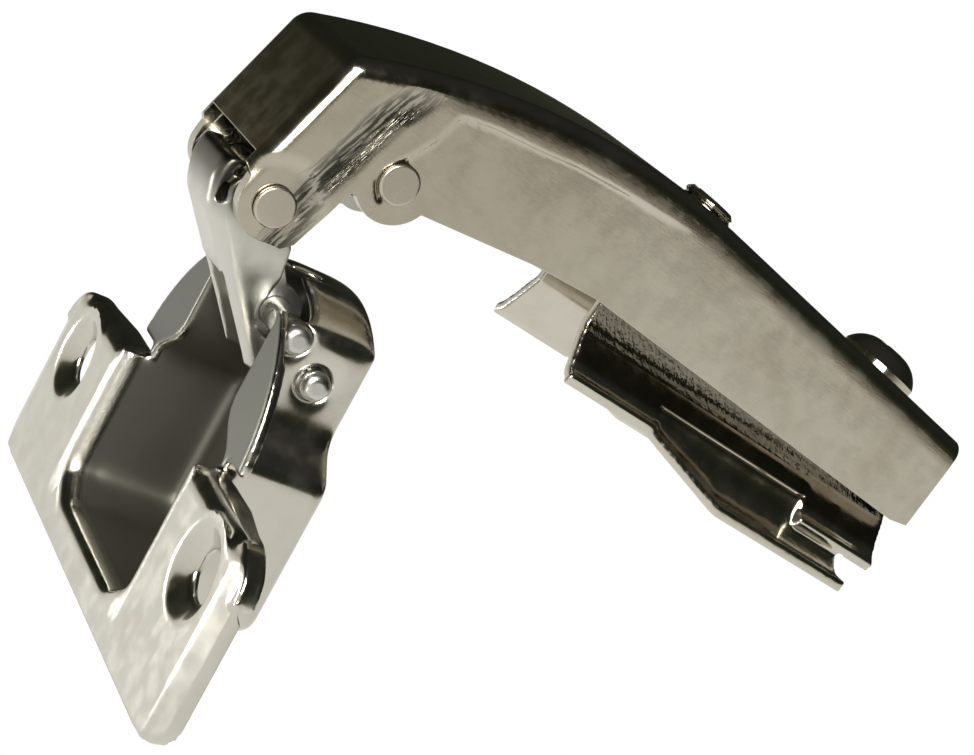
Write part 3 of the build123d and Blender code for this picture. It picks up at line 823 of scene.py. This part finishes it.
def clear_holes(placed):
    """Keeps a link's points out of the holes for its pins."""
    for (pivot_x, pivot_z), radius in LINK_HOLES:
        away = np.hypot(placed[:, 0] - pivot_x, placed[:, 2] - pivot_z)
        spread = np.maximum(away, radius) / np.maximum(away, LEAST_DIVISOR)
        placed[:, 0] = pivot_x + (placed[:, 0] - pivot_x) * spread
        placed[:, 2] = pivot_z + (placed[:, 2] - pivot_z) * spread


def fold_link(material):
    """The outer link with its stop tab curled back over the front pin."""
    to_part = Matrix.Rotation(LINK_SLANT, 4, "Y")
    mesh, points = smooth_skin("outer_link", to_part, LINK_GRID)
    turn = np.array(to_part.to_3x3())
    placed = points @ turn.T / MM
    front = ease_all(placed[:, 0], *TAB_FRONT)
    curl = np.clip(placed[:, 2] - TAB_CURL_FROM, 0, None) ** 2 * TAB_CURL
    placed[:, 0] += curl * front
    points = relax(mesh, placed @ turn * MM, LINK_ROUNDS, np.ones(len(points)), LINK_SWELL)
    placed = points @ turn.T / MM
    clear_holes(placed)
    # The tab mark is a painted dark reflection on the tab's top
    finish_skin(mesh, placed @ turn * MM, to_part, {"tab": ease_all(placed[:, 2], *TAB_SHADE)})
    stand_for("outer_link", "outer_link_folded", mesh, material)


def stamp_plate(material):
    """The mounting plate with the soft bends and the wrinkled walls of a stamped strip."""
    to_part = Matrix.Identity(4)
    mesh, points = smooth_skin("mounting_plate", to_part, PLATE_GRID)
    points = relax(mesh, points, PLATE_ROUNDS, np.ones(len(points)), PLATE_SWELL)
    x, y, z = (points / MM).T
    fields = {"x": x, "wide": np.abs(y), "z": z}
    above = zone(fields, ABOVE_SLIT) * (z > SLIT_MIDDLE) * (fields["wide"] < ABOVE_SLIT_WIDE)
    below = zone(fields, BELOW_SLIT) * (z <= SLIT_MIDDLE)
    points[:, 2] += zone(fields, ALONG_SLIT) * (SLIT_LIFT * below - SLIT_DROP * above) * MM
    fields["outward"] = read_normals(mesh, points)[:, 1] * np.sign(y)
    # The wall's wrinkled strip and its band get painted shade; the wrinkled strip has its wrinkles too
    marks = {"wrinkled": zone(fields, WRINKLED), "foot": zone(fields, FOOT), "band": zone(fields, BAND)}
    finish_skin(mesh, points, to_part, marks)
    stand_for("mounting_plate", "mounting_plate_stamped", mesh, material)


def light_panel(name, place, target, size, power, colour):
    data = bpy.data.lights.new(name, "AREA")
    data.shape = "RECTANGLE"
    data.size, data.size_y = size
    data.energy = power
    data.color = colour
    lamp = add_object(name, data)
    lamp.location = place
    away = Vector(target) - Vector(place)
    lamp.rotation_euler = away.to_track_quat("-Z", "Y").to_euler()


def build_world():
    """White behind the part; in the metal, a pale ground under a dark room."""
    world = bpy.data.worlds.new("studio")
    bpy.context.scene.world = world
    world.use_nodes = True
    tree = world.node_tree
    tree.nodes.clear()
    output = add(tree, "ShaderNodeOutputWorld")
    direction = add(tree, "ShaderNodeTexCoord").outputs["Generated"]
    parts = add(tree, "ShaderNodeSeparateXYZ")
    join(tree, direction, parts.inputs[0])
    height = calculate(tree, "ADD", multiply(tree, parts.outputs["Z"], 0.5), 0.5)
    room = add(tree, "ShaderNodeBackground")
    join(tree, colour_ramp(tree, height, ROOM_TONES), room.inputs["Color"])
    white = add(tree, "ShaderNodeBackground")
    white.inputs["Color"].default_value = WHITE
    blend = add(tree, "ShaderNodeMixShader")
    join(tree, add(tree, "ShaderNodeLightPath").outputs["Is Camera Ray"], blend.inputs[0])
    join(tree, room.outputs[0], blend.inputs[1])
    join(tree, white.outputs[0], blend.inputs[2])
    join(tree, blend.outputs[0], output.inputs["Surface"])


def build_floor():
    """A wide white floor; in the metal it shows a painted pool of light, brightest below the part and dimming far
    out.
    """
    mesh = bpy.data.meshes.new("floor")
    corners = [(-1, -1), (1, -1), (1, 1), (-1, 1)]
    points = [(x * FLOOR_REACH, y * FLOOR_REACH, FLOOR_HEIGHT) for x, y in corners]
    mesh.from_pydata(points, [], [(0, 1, 2, 3)])
    floor = add_object("floor", mesh)
    material = bpy.data.materials.new("floor white")
    material.use_nodes = True
    tree = material.node_tree
    shader = tree.nodes["Principled BSDF"]
    shader.inputs["Base Color"].default_value = FLOOR_COLOUR
    shader.inputs["Roughness"].default_value = FLOOR_ROUGHNESS
    rays = add(tree, "ShaderNodeLightPath").outputs
    place = add(tree, "ShaderNodeTexCoord").outputs["Object"]
    distance = add(tree, "ShaderNodeVectorMath", operation="LENGTH")
    join(tree, place, distance.inputs[0])
    spread = calculate(tree, "DIVIDE", distance.outputs["Value"], FLOOR_LIGHT_POOL_REACH)
    # The floor's painted pool of light, seen in reflections
    pool = colour_ramp(tree, spread, FLOOR_PAINTED_LIGHT_POOL)
    glow = add(tree, "ShaderNodeEmission")
    join(tree, tint(tree, rays["Is Camera Ray"], pool, WHITE), glow.inputs["Color"])
    seen = calculate(tree, "MAXIMUM", rays["Is Camera Ray"], rays["Is Glossy Ray"])
    seen = calculate(tree, "MAXIMUM", seen, rays["Is Transmission Ray"])
    blend = add(tree, "ShaderNodeMixShader")
    join(tree, seen, blend.inputs[0])
    join(tree, shader.outputs[0], blend.inputs[1])
    join(tree, glow.outputs[0], blend.inputs[2])
    join(tree, blend.outputs[0], tree.nodes["Material Output"].inputs["Surface"])
    mesh.materials.append(material)


bpy.context.scene.view_settings.view_transform = "Standard"
aim_camera()
build_world()
build_floor()
light_panel(
    "key",
    place=(-0.35, -0.55, 0.25),
    target=(-0.02, 0, 0),
    size=(0.4, 0.4),
    power=6.0,
    colour=(1.0, 0.98, 0.93),
)
light_panel(
    "low",
    place=(-0.245, 0.162, -0.135),
    target=(-0.052, -0.03, -0.026),
    size=(0.09, 0.1),
    power=0.25,
    colour=(1.0, 0.99, 0.96),
)

plating = build_plating()
arm_nickel = plated(
    "arm nickel",
    plating,
    {"Stain Amount": 0.25, "Dull": 0.2, "Bright": 0.12},
    # Painted shade towards the head and in the crease, with dark painted streaks in the crease
    painted_shades=[PaintedShade("shade", 0.5, ARM_SHADE), PaintedShade("crease", 0.35, CREASE_PAINTED_SHADE)],
    drawn=[DrawnStreakShade("crease", (0.3, 0.3, 3.2), CREASE_LEAN, CREASE_STREAK_PAINTED_DARK)],
    pressed=[Pressed("crease", (0.16, 0.16, 1.4), CREASE_LEAN, 0.045)],
)
cup_nickel = plated(
    "cup nickel",
    plating,
    {"Base": CUP_NICKEL, "Wave Height": 0.04},
    edge=0.08,
    # Painted shade in the pocket, a painted dark reflection on the ledges
    painted_shades=[PaintedShade("inside", 0.9, POCKET_PAINTED_SHADE), PaintedShade("ledge", 1.0, LEDGE_PAINTED_DARK_REFLECTION)],
    pressed=[Pressed("coined", (0.16, 0.16, 0.16), 0.0, 0.06)],
    dull=[Dull("inside", 0.5), Dull("ledge", 0.3)],
)
link_nickel = plated(
    "link nickel",
    plating,
    {"Base": LINK_NICKEL, "Dull": 0.36, "Bright": 0.28},
    # A painted dark reflection on the tab's top
    painted_shades=[PaintedShade("tab", 0.95, TAB_PAINTED_DARK_REFLECTION)],
)
plate_nickel = plated(
    "plate nickel",
    plating,
    {"Dull": 0.22, "Bright": 0.12},
    edge=0.1,
    # Painted shade on the wall under the arm's edge
    painted_shades=[PaintedShade("wrinkled", 0.85, WALL_PAINTED_SHADE), PaintedShade("band", 0.8, BAND_PAINTED_SHADE)],
    pressed=[
        Pressed("wrinkled", (0.5, 0.5, 0.9), math.radians(-30.0), 0.1),
        Pressed("foot", (2.4, 1.6, 1.6), 0.0, 0.06),
    ],
)
rivet_nickel = plated("rivet nickel", plating, {"Base": RIVET_NICKEL, "Dull": 0.34, "Bright": 0.24})
pin_zinc = plated("pin zinc", plating, {"Base": ZINC, "Dull": 0.34, "Bright": 0.24})
screw_nickel = plated("screw nickel", plating, {"Dull": 0.16, "Bright": 0.1}, edge=0.06)
spring_steel = plated("spring steel", plating, {"Base": SPRING_STEEL})
finishes = {
    "arm_plating": arm_nickel,
    "cup_plating": cup_nickel,
    "link_plating": link_nickel,
    "plate_plating": plate_nickel,
    "pin_zinc": pin_zinc,
    "screw_plating": screw_nickel,
    "spring_steel": spring_steel,
}
for part in frame["record"]["subparts"]:
    dress(frame["nodes"][part["node"]], finishes[part["material_slot"]])
for rivet in ("front_pin", "rear_pin"):
    dress(frame["nodes"][rivet], rivet_nickel)

press_arm(arm_nickel)
draw_cup(cup_nickel)
fold_link(link_nickel)
stamp_plate(plate_nickel)
joints = {joint["name"]: joint for joint in frame["joints"]}
adjuster = joints["adjusting_screw_turn"]
thread_screw(adjuster["pos_m"], adjuster["axis"], screw_nickel)
